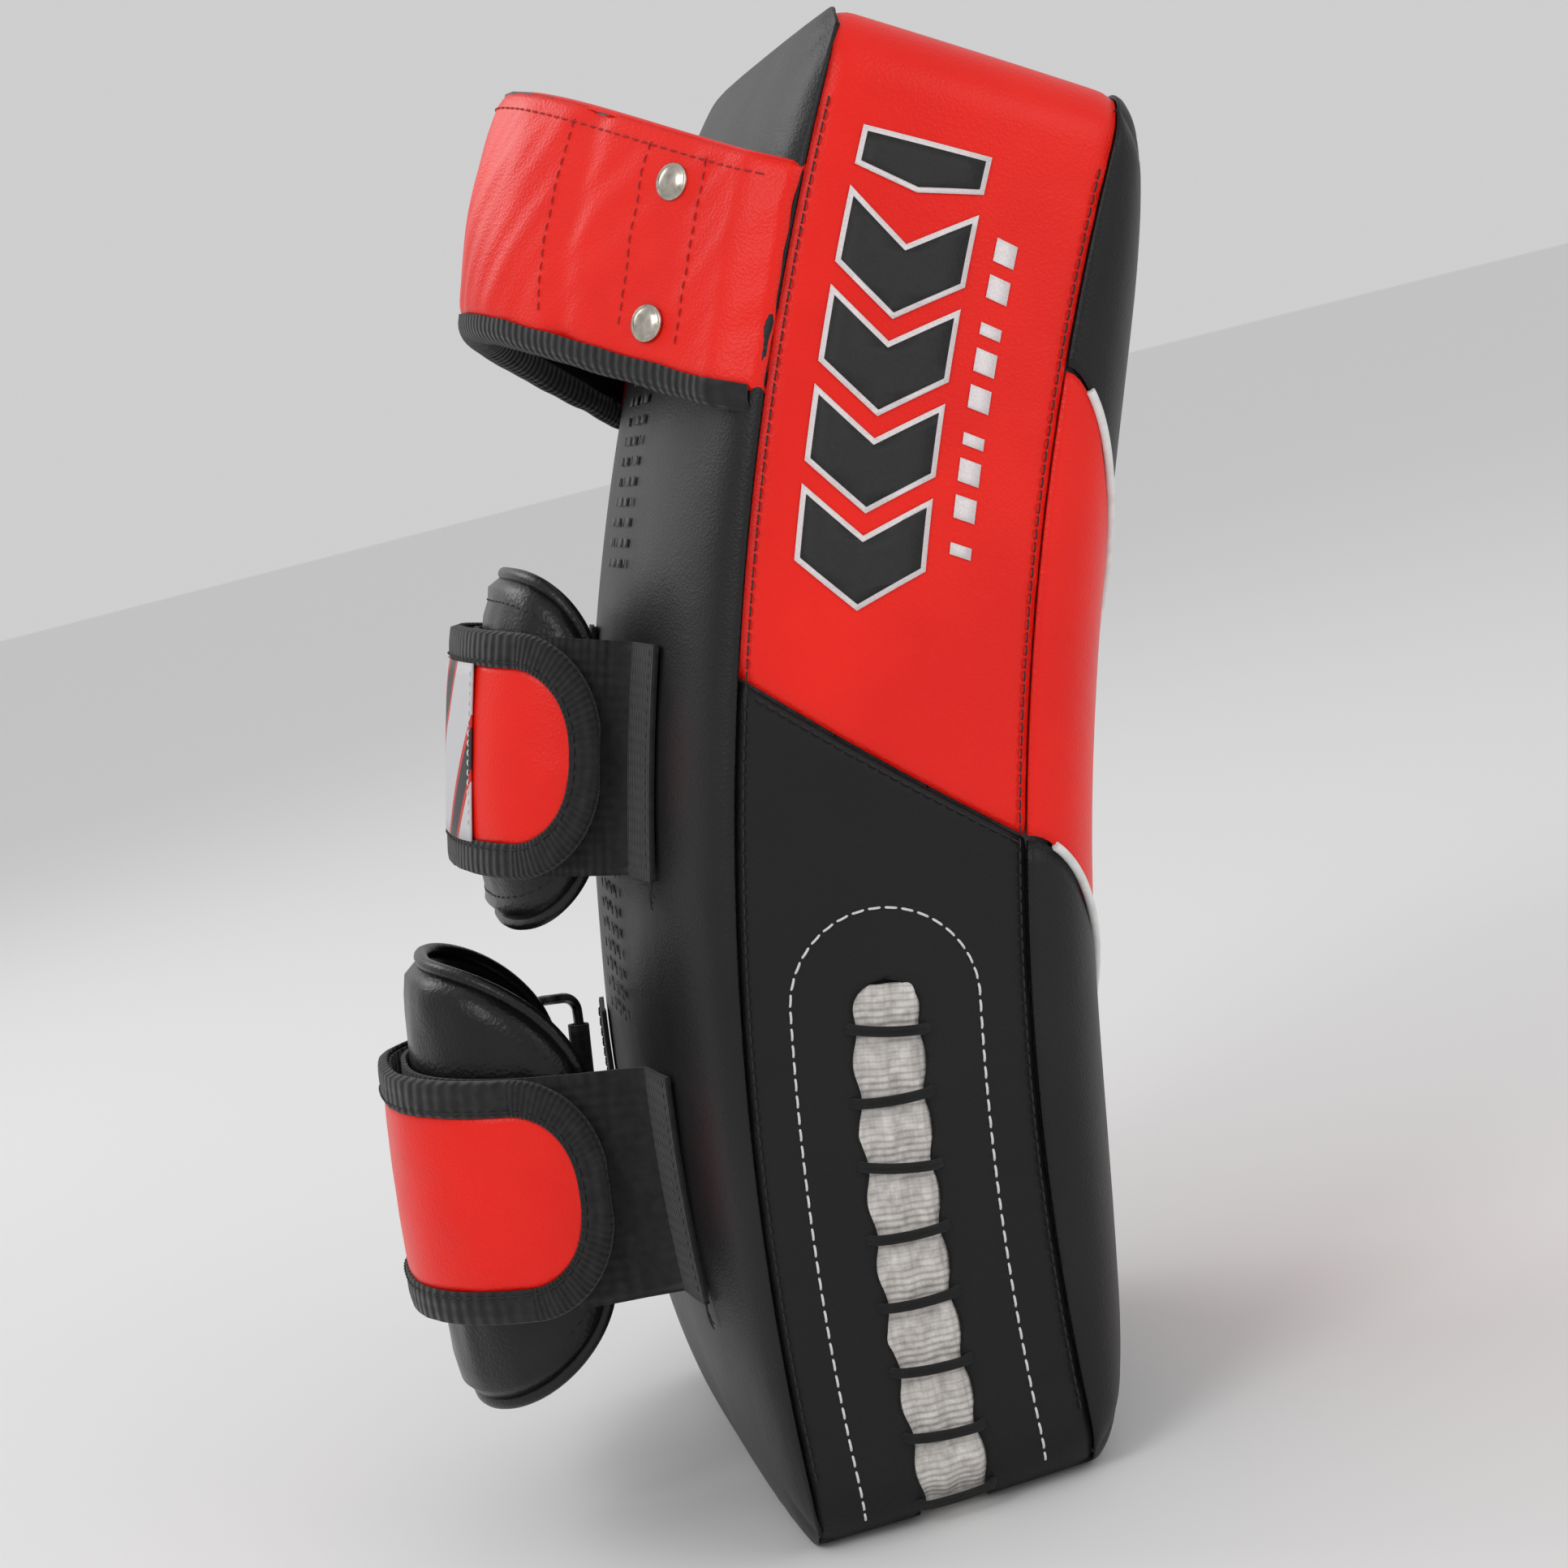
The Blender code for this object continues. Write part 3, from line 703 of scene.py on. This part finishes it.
def print_mark(name, outlines, place, lift, finish, step=0.003):
    """Flat printed shapes laid on a curved surface, cut fine enough to follow it."""
    shape = bmesh.new()
    for points in outlines:
        corners = [shape.verts.new((point[0], point[1], 0)) for point in points]
        shape.faces.new(corners)
    low = min(point[0] for points in outlines for point in points)
    high = max(point[0] for points in outlines for point in points)
    cut = low + step
    while cut < high:
        whole = shape.verts[:] + shape.edges[:] + shape.faces[:]
        bmesh.ops.bisect_plane(shape, geom=whole, plane_co=(cut, 0, 0), plane_no=(1, 0, 0))
        cut += step
    for cut_height in (-0.03, -0.02, -0.01, 0, 0.01, 0.02, 0.03):
        whole = shape.verts[:] + shape.edges[:] + shape.faces[:]
        bmesh.ops.bisect_plane(shape, geom=whole, plane_co=(0, cut_height, 0), plane_no=(0, 1, 0))
    for point in shape.verts:
        point.co = place(point.co.x, point.co.y, lift)
    bmesh.ops.recalc_face_normals(shape, faces=shape.faces[:])
    return add_piece(name, shape, finish, "root", 0.00012)


def arrow(start, length, slope=0.010, low=-0.006, high=0.024):
    """One chevron of a row, pointing down the pad."""
    middle = (low + high) / 2
    return [(start, low), (start - slope, middle), (start, high), (start + length, high),
            (start + length - slope, middle), (start + length, low)]


def make_marks():
    shapes = [arrow(0.242 + 0.0235 * number, 0.0150) for number in range(4)]
    shapes.append([(0.336, -0.006), (0.333, 0.009), (0.336, 0.024), (0.343, 0.024), (0.343, -0.006)])
    outlined = [grown(points, -0.0013) for points in shapes]
    print_mark("wall_mark_outline", outlined, near_wall, 0.00025, WHITE_PRINT)
    print_mark("wall_mark", shapes, near_wall, 0.00045, BLACK_PRINT)
    bars = []
    for number in range(9):
        start = 0.245 + 0.0092 * number
        wide = 0.0058 if number % 3 else 0.0030
        bars.append([(start, -0.0185), (start + 0.0012, -0.0130), (start + 0.0012 + wide, -0.0130),
                     (start + wide, -0.0185)])
    print_mark("wall_mark_bars", bars, near_wall, 0.00025, WHITE_PRINT)

    def on_back(along, x, lift):
        return world_place(x, along, back_height(x, along) + lift)

    dashes = []
    for low, high in ((0.236, 0.292), (0.122, 0.165)):
        start = low
        number = 0
        while start < high:
            for column in range(4):
                x = -0.012 + 0.010 * column
                wide = 0.006 if (number + column) % 3 else 0.003
                top = start + 0.0022
                dashes.append([(start, x), (top, x), (top, x + wide), (start, x + wide)])
            start += 0.0052
            number += 1
    print_mark("back_dashes", dashes, on_back, 0.0006, GREY_PRINT, 0.01)


# Handle


def handle_rise(x):
    return math.sin(math.pi / 2 * (1 - min(abs(x) / HALF_WIDTH, 1))) ** 1.3


def handle_place(x, across, lift):
    """A point of the handle: across its width, and this far over the lining's inner face."""
    along = HANDLE_ALONG + HANDLE_LIFT * handle_rise(x) + across
    height = HANDLE_FOOT + HANDLE_RISE * handle_rise(x) + lift
    to_seam = max(0, abs(x) - HANDLE_TURN) / (HANDLE_REACH - HANDLE_TURN)
    height -= 0.0105 * (1 - math.cos(min(to_seam, 1) * math.pi / 2))
    return world_place(x + math.copysign(0.0025 * to_seam * min(lift / HANDLE_THICK, 1), x), along, height)


def grip_at(x):
    return GRIP_THICK * max(0, 1 - (x / GRIP_REACH) ** 2)


def make_handle():

    def crease(x, across):
        """Creases across the band where the padded grip starts."""
        off = abs(abs(x) - 0.050)
        fold = math.exp(-((off / 0.004) ** 2)) * 0.0013
        wave = noise.noise(Vector((x * 70, across * 35, 21))) * 0.0010
        wave += noise.noise(Vector((x * 190 + across * 120, across * 60, 5))) * 0.0005
        edge = max(0, abs(across) - HANDLE_HALF + 0.004) / 0.004
        return wave * (1 - edge) - fold - 0.0010 * edge**2

    def band(a, b):
        x = HANDLE_REACH * a
        across = HANDLE_HALF * b
        return handle_place(x, across, HANDLE_THICK + grip_at(x) * (1 - GRIP_SAG * b * b) + crease(x, across))

    sheet("handle_band_leather", 160, 36, band, RED_LEATHER, "root", (0.26, 0.053), 0.0018,
                    replaced=("handle_band",))

    def lining(a, b):
        x = HANDLE_TURN * a
        return handle_place(x, HANDLE_HALF * b, 0.0013 + 0.0004 * noise.noise(Vector((x * 60, b * 2, 9))))

    sheet("handle_lining_leather", 80, 10, lining, BLACK_LEATHER, "root", (0.26, 0.053), 0.0012,
          replaced=("handle_lining",))

    def top_edge(a, b):
        """Leather rolled over the upper edge of the band down to the lining."""
        x = HANDLE_REACH * 0.995 * a
        top = HANDLE_THICK + grip_at(x) * 0.65 - 0.001
        turn = b * math.pi / 2
        middle = top / 2
        across = HANDLE_HALF - 0.0006 + 0.0012 * math.cos(turn)
        return handle_place(x, across, middle + middle * math.sin(turn))

    sheet("handle_top_roll", 120, 8, top_edge, RED_LEATHER, "root", (0.26, 0.014))

    def binding(a, b):
        """Ribbed tape folded round the lower edge."""
        x = (HANDLE_REACH - 0.001) * a
        top = HANDLE_THICK + grip_at(x) * 0.65 + 0.0002
        turn = b * math.pi * 0.5
        middle = top / 2
        ripple = 0.0005 * noise.noise(Vector((x * 110, b, 31)))
        across = -HANDLE_HALF + 0.0012 - 0.0062 * math.cos(turn) ** 0.7
        return handle_place(x, across + ripple, middle + (middle + 0.0004) * math.sin(turn) + ripple)

    sheet("handle_binding_tape", 200, 16, binding, TAPE, "root", (0.26, 0.020), 0.0008,
          replaced=("handle_binding",))

    def across_line(x):
        def at(share, lift):
            across = (HANDLE_HALF - 0.0035) * (1 - 2 * share)
            full = 1 - GRIP_SAG * (across / HANDLE_HALF) ** 2
            return handle_place(x, across, HANDLE_THICK + grip_at(x) * full + lift + crease(x, across))

        return at

    for number, x in enumerate((-0.0815, -0.0665, -0.044, 0.044, 0.0665, 0.0815)):
        stitches(f"handle_stitches_{number + 1}", across_line(x), *HANDLE_STITCH, RED_THREAD)

    def edge_line(share, lift):
        x = -0.095 + 0.190 * share
        across = HANDLE_HALF - 0.0042
        full = 1 - GRIP_SAG * (across / HANDLE_HALF) ** 2
        return handle_place(x, across, HANDLE_THICK + grip_at(x) * full + lift + crease(x, across))

    stitches("handle_edge_stitches", edge_line, *HANDLE_STITCH, RED_THREAD)


def make_rivets():
    """Domed caps with a rolled rim, turned from one outline."""
    profile = [(0, 0.00135), (0.0016, 0.0013), (0.0030, 0.0011), (0.0038, 0.0007), (0.0041, 0.00055),
               (0.0044, 0.0008), (0.0047, 0.0006), (0.0048, 0.0001), (0.0046, -0.0004)]
    number = 0
    for x in (-RIVET_X, RIVET_X):
        for row in RIVET_ROWS:
            number += 1
            across = row - HANDLE_ALONG
            top = HANDLE_THICK + grip_at(x)
            here = handle_place(x, across, top)
            side = handle_place(x + 0.001, across, HANDLE_THICK + grip_at(x + 0.001)) - here
            down = handle_place(x, across + 0.001, top) - here
            out = side.cross(down).normalized()
            if out.y < 0:
                out.negate()
            first = side.normalized()
            second = out.cross(first)
            shape = bmesh.new()
            around = 32
            rings = []
            for radius, height in profile[1:]:
                ring = []
                for step in range(around):
                    turn = 2 * math.pi * step / around
                    spoke = first * math.cos(turn) + second * math.sin(turn)
                    ring.append(shape.verts.new(here + spoke * radius + out * (height + 0.0004)))
                rings.append(ring)
            tip = shape.verts.new(here + out * (profile[0][1] + 0.0004))
            for step in range(around):
                after = (step + 1) % around
                shape.faces.new((tip, rings[0][step], rings[0][after]))
                for inner, outer in zip(rings, rings[1:]):
                    shape.faces.new((inner[step], outer[step], outer[after], inner[after]))
            bmesh.ops.recalc_face_normals(shape, faces=shape.faces[:])
            add_piece(f"rivet_cap_{number}", shape, NICKEL, "root", replaced=(f"handle_rivet_{number}",))


# Forearm straps


def loop_point(loop, degrees, offset):
    angle = math.radians(degrees)
    across = abs(math.sin(angle)) ** LOOP_POWER
    out = max(0, math.cos(angle)) ** LOOP_POWER
    return math.copysign((LOOP_HALF + offset) * across, degrees), LOOP_BASE + (loop["rise"] + offset) * out


def loop_place(loop, degrees, offset, across):
    x, height = loop_point(loop, degrees, offset)
    return world_place(x, loop["along"] + across, height)


def loop_layer(name, loop, span, size, offset_at, half_at, finish, body, replaced, thick, grid=(90, 24)):
    """A layer of a strap's loop: offset_at(degrees, b) over the cuff, and half_at(degrees) wide each way."""

    def place(a, b):
        degrees = span[0] + (span[1] - span[0]) * (a + 1) / 2
        return loop_place(loop, degrees, offset_at(degrees, b), half_at(degrees) * b)

    return sheet(name, *grid, place, finish, body, size, thick, replaced=replaced)


def make_cuff(side, loop):
    def half_at(degrees):
        share = min(abs(degrees) / CUFF_SPAN, 1)
        return loop["cuff"] * (0.40 + 0.60 * math.sqrt(max(0, 1 - share**3.2)))

    def padded(degrees, b):
        """The cuff's outside: full in its middle, thin at a stitched rim."""
        rim = min(1, (1 - abs(b)) * half_at(degrees) / 0.008)
        end = min(1, (CUFF_SPAN - abs(degrees)) / 9)
        full = math.sqrt(max(0, rim * (2 - rim))) * (0.35 + 0.65 * math.sqrt(max(0, end)))
        ditch = 0.0010 * math.exp(-(((1 - abs(b)) * half_at(degrees) - 0.0065) / 0.0012) ** 2)
        wrinkle = 0.0005 * noise.noise(Vector((degrees * 0.09, b * 5, loop["along"] * 50)))
        return -0.0052 + 0.0050 * full - ditch + wrinkle * rim

    def lined(degrees, b):
        rim = min(1, (1 - abs(b)) * half_at(degrees) / 0.008)
        end = min(1, (CUFF_SPAN - abs(degrees)) / 9)
        full = math.sqrt(max(0, rim * (2 - rim))) * math.sqrt(max(0, end))
        wrinkle = 0.0006 * noise.noise(Vector((degrees * 0.12, b * 4, loop["along"] * 70)))
        return -0.0056 - 0.0028 * full + wrinkle * rim

    size = (0.17, loop["cuff"] * 2)
    span = (-CUFF_SPAN, CUFF_SPAN)
    outside = loop_layer(f"{side}_cuff_outside", loop, span, size, padded, half_at, CUFF_LEATHER, "root",
                         (f"{side}_cuff_pad",), 0.0006)
    inside = loop_layer(f"{side}_cuff_inside", loop, span, size, lined, half_at, CUFF_LEATHER, "root",
                        (f"{side}_cuff_lining",), -0.0006)

    def rim_point(share, lift):
        """Round the cuff's edge, from 0 to 1."""
        turn = share * 2 * math.pi
        degrees = CUFF_SPAN * math.cos(turn)
        sign = 1 if math.sin(turn) >= 0 else -1
        return loop_place(loop, degrees, -0.0054 + lift, sign * half_at(degrees))

    run = [rim_point(step / 160, 0) for step in range(160)]
    tube(f"{side}_cuff_rim", [run], 0.0019, CUFF_LEATHER, "root", closed=True, rounded_section=4)

    def sewn(sign):
        def at(share, lift):
            degrees = -74 + 148 * share
            half = half_at(degrees)
            b = sign * (1 - 0.0065 / half)
            return loop_place(loop, degrees, padded(degrees, b) + lift, half * b)

        return at

    for name, sign in (("upper_rim", 1), ("lower_rim", -1)):
        stitches(f"{side}_cuff_stitches_{name}", sewn(sign), *CUFF_STITCH, BLACK_THREAD)


def make_base_strap(side, loop):
    def place(a, b):
        """Sewn flat on the back cover, then up and round the cuff to the ring."""
        across = STRAP_HALF * b
        gone = (a + 1) / 2
        if gone < SEWN_SHARE:
            share = gone / SEWN_SHARE
            x = -0.069 + 0.019 * share
            height = back_height(x, loop["along"] + across) + 0.0021
            return world_place(x, loop["along"] + across, height + 0.0010 * share)
        degrees = -88 + (loop["turn"] + 88) * (gone - SEWN_SHARE) / (1 - SEWN_SHARE)
        return loop_place(loop, degrees, 0.0022, across)

    sheet(f"{side}_base_strap_tape", 130, 16, place, TAPE, "root", (0.19, 0.056), 0.0014,
          replaced=(f"{side}_base_strap", f"{side}_near_patch"))

    def patch(a, b):
        x = 0.0565 + 0.0135 * a
        along = loop["along"] + (STRAP_HALF + 0.001) * b
        return world_place(x, along, back_height(x, along) + 0.0020)

    sheet(f"{side}_far_patch_tape", 12, 16, patch, TAPE, "root", (0.027, 0.058), 0.0013,
          replaced=(f"{side}_far_patch",))

    def line(x, half):
        def at(share, lift):
            along = loop["along"] + half * (1 - 2 * share)
            return world_place(x, along, back_height(x, along) + 0.0021 + lift)

        return at

    for number, x in enumerate((-0.0665, -0.0625, -0.0585, 0.0600, 0.0660)):
        stitches(f"{side}_patch_stitches_{number + 1}", line(x, STRAP_HALF - 0.001), *PATCH_STITCH,
                 BLACK_THREAD)
    low = loop["along"] - STRAP_HALF
    random.seed(int(loop["along"] * 10000))
    tails = []
    for number in range(3):
        run = []
        drift = random.uniform(-0.002, 0.001)
        for step in range(7):
            share = step / 6
            x = -0.0665 + drift * share * share + 0.0008 * number
            along = low - (0.004 + 0.0015 * number) * share
            run.append(world_place(x, along, back_height(x, along) + 0.0008 + 0.0018 * share * (1 - share)))
        tails.append(run)
    tube(f"{side}_thread_tails", tails, 0.00022, BLACK_THREAD, "root", rounded_section=1)


def make_ring(side, loop):
    bar = loop_point(loop, loop["bar"], BAR_OFFSET)
    tall = math.hypot(bar[0] - RING_FOOT[0], bar[1] - RING_FOOT[1])
    half = tall / 2
    run = []
    for quarter, (out_sign, along_sign) in enumerate(((1, 1), (-1, 1), (-1, -1), (1, -1))):
        for step in range(9):
            turn = math.radians(90 * quarter + 90 * step / 8)
            out = half + out_sign * (half - RING_CORNER) + RING_CORNER * math.cos(turn)
            share = out / tall
            x = RING_FOOT[0] + (bar[0] - RING_FOOT[0]) * share
            height = RING_FOOT[1] + (bar[1] - RING_FOOT[1]) * share
            across = along_sign * (RING_HALF - RING_CORNER) + RING_CORNER * math.sin(turn)
            run.append(world_place(x, loop["along"] + across, height))
    tube(f"{side}_ring_wire", [run], RING_WIRE, STEEL, f"{side}_ring_body", closed=True,
         replaced=(f"{side}_ring",), rounded_section=5)

    def tab(a, b):
        turn = math.radians(90 + 165 * a)
        radius = RING_TAB_RADIUS
        x = RING_FOOT[0] + radius * math.cos(turn)
        return world_place(x, loop["along"] + 0.025 * b, RING_FOOT[1] + radius * math.sin(turn))

    sheet(f"{side}_ring_tab_tape", 36, 12, tab, TAPE, "root", (0.018, 0.050), -0.0011,
          replaced=(f"{side}_ring_tab",))


def make_outer_strap(side, loop):
    """Red leather on tape, with a D end and ribbed binding, turned round the ring's bar."""
    body = f"{side}_strap_body"
    turn = loop["turn"]
    bar = loop_point(loop, loop["bar"], BAR_OFFSET)
    count = 300
    degrees_list = [STRAP_END + (turn - STRAP_END) * step / count for step in range(count + 1)]
    gone = [0]
    for before, after in zip(degrees_list, degrees_list[1:]):
        piece = loop_place(loop, after, 0.0075, 0) - loop_place(loop, before, 0.0075, 0)
        gone.append(gone[-1] + piece.length)
    total = gone[-1]

    def on_strap(run, across, lift):
        """This far from the tip along the strap, across it and off the cuff."""
        step = 0
        while step < count - 1 and gone[step + 1] < run:
            step += 1
        part = (run - gone[step]) / (gone[step + 1] - gone[step])
        degrees = degrees_list[step] + (degrees_list[1] - degrees_list[0]) * part
        return loop_place(loop, degrees, lift, across)

    def edge(share, inset):
        """A line this far inside the strap's edge: from the ring (-1), round the tip (0), to the ring (1)."""
        half = STRAP_HALF - inset
        if abs(share) < 0.4:
            angle = abs(share) / 0.4 * math.pi / 2
            run = inset + (END_LENGTH - inset) * (1 - math.cos(angle))
            across = half * math.sin(angle) ** 0.85
        else:
            run = END_LENGTH + (total - END_LENGTH) * (abs(share) - 0.4) / 0.6
            across = half
        return run, math.copysign(across, share)

    def filled(inset, lift_at, last=1.0):
        def place(a, b):
            share = last * (a + 1) / 2
            run, across = edge(max(share, 0.001), inset)
            return on_strap(run, across * b, lift_at(run, b))

        return place

    def panel_lift(run, b):
        return 0.0076 + 0.0004 * (1 - b * b) + 0.0003 * noise.noise(Vector((run * 70, b * 2, 40)))

    tape = filled(0.0005, lambda run, b: 0.0066)
    panel = filled(EDGE_WIDTH - 0.0008, panel_lift, 0.97)
    sheet(f"{side}_outer_strap_tape", 120, 16, tape, TAPE, body, (0.17, 0.056), 0.0016,
          replaced=(f"{side}_outer_strap",))
    sheet(f"{side}_strap_panel_leather", 120, 16, panel, RED_LEATHER, body, (0.15, 0.041), 0.0008,
          replaced=(f"{side}_strap_panel",))

    def binding(a, b):
        share = (b + 1) / 2
        run, across = edge(a if a else 0.001, EDGE_WIDTH - (EDGE_WIDTH + 0.0006) * share)
        lift = 0.0086 - 0.0005 * (2 * share - 1) ** 4 - 0.0020 * max(0, share - 0.9) / 0.1
        ripple = 0.0002 * noise.noise(Vector((run * 200, a * 3 + share * 2, 50)))
        return on_strap(max(run, 0), across, lift + ripple)

    sheet(f"{side}_strap_binding", 240, 10, binding, TAPE, body, (0.34, 0.008), 0.0009)
    loop_layer(f"{side}_hook_patch_pile", loop, (-70, -28), (0.05, 0.038), lambda degrees, b: 0.0044,
               lambda degrees: STRAP_HALF - 0.009, HOOKS, body, (f"{side}_hook_patch",), 0.0009, (24, 8))

    def turn_place(a, b):
        """The strap's turn round the ring's bar."""
        start_x, start_height = loop_point(loop, turn, 0.0066)
        share = (a + 1) / 2
        angle = math.radians(60 - 110 * max(0, share - 0.2) / 0.8)
        x = bar[0] + TURN_RADIUS * math.cos(angle)
        height = bar[1] + TURN_RADIUS * math.sin(angle)
        if share < 0.2:
            x = start_x + (x - start_x) * share / 0.2
            height = start_height + (height - start_height) * share / 0.2
        return world_place(x, loop["along"] + (STRAP_HALF - 0.001) * b, height)

    sheet(f"{side}_strap_turn", 30, 12, turn_place, TAPE, body, (0.02, 0.054), 0.0010)

    def sewn(share, lift):
        run, across = edge(-0.97 + 1.94 * share or 0.001, EDGE_WIDTH - 0.0013)
        return on_strap(run, across, 0.0086 + lift)

    stitches(f"{side}_strap_stitches", sewn, *STRAP_STITCH, BLACK_THREAD, body)
    if side == "upper":
        loop_layer("upper_label_cloth", loop, (-27, 12), (0.047, 0.042), lambda degrees, b: 0.0089,
                   lambda degrees: STRAP_HALF - 0.0074, LABEL, body, ("upper_label",), 0.0005, (30, 12))

        def label_edge(share, lift):
            return loop_place(loop, -25.5, 0.0090 + lift, (STRAP_HALF - 0.009) * (1 - 2 * share))

        stitches("upper_label_stitches", label_edge, *LABEL_STITCH, WHITE_THREAD, body)


def finish_hidden():
    """The foam inside keeps its CAD shape."""
    for node in ("foam_face_layer", "foam_core", "foam_back_layer", "handle_grip_pad"):
        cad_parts[node].material_slots[0].material = FOAM


make_camera()
make_studio()
finish_hidden()
make_face()
make_back()
make_walls()
make_laces()
make_wall_stitches()
make_marks()
make_handle()
make_rivets()
for side, loop in LOOPS.items():
    make_cuff(side, loop)
    make_base_strap(side, loop)
    make_ring(side, loop)
    make_outer_strap(side, loop)
